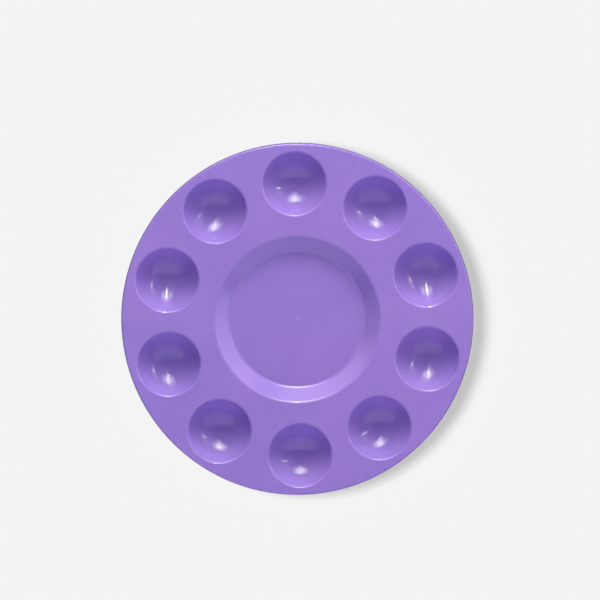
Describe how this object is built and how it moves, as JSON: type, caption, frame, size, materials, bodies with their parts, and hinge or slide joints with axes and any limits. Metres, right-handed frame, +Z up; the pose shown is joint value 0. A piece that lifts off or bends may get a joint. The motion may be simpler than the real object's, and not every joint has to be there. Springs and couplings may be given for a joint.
{
  "type": "mixing palette",
  "caption": "Round plastic mixing palette: a flat deck with bowl-shaped paint wells in a ring around a shallow flat-floored mixing pan, standing on a plain skirt.",
  "frame": {"origin": "centre of the palette on the table plane, at the foot of the skirt", "axes": "+Z up along the palette's axis, out of the wells; +Y through the middle of one well; +X to the right, midway between two wells"},
  "size_m": [0.17, 0.17, 0.014],
  "materials": {
    "purple_plastic": "gloss"
  },
  "bodies": {
    "root": {"palette_tray": "purple_plastic"}
  },
  "joints": []
}
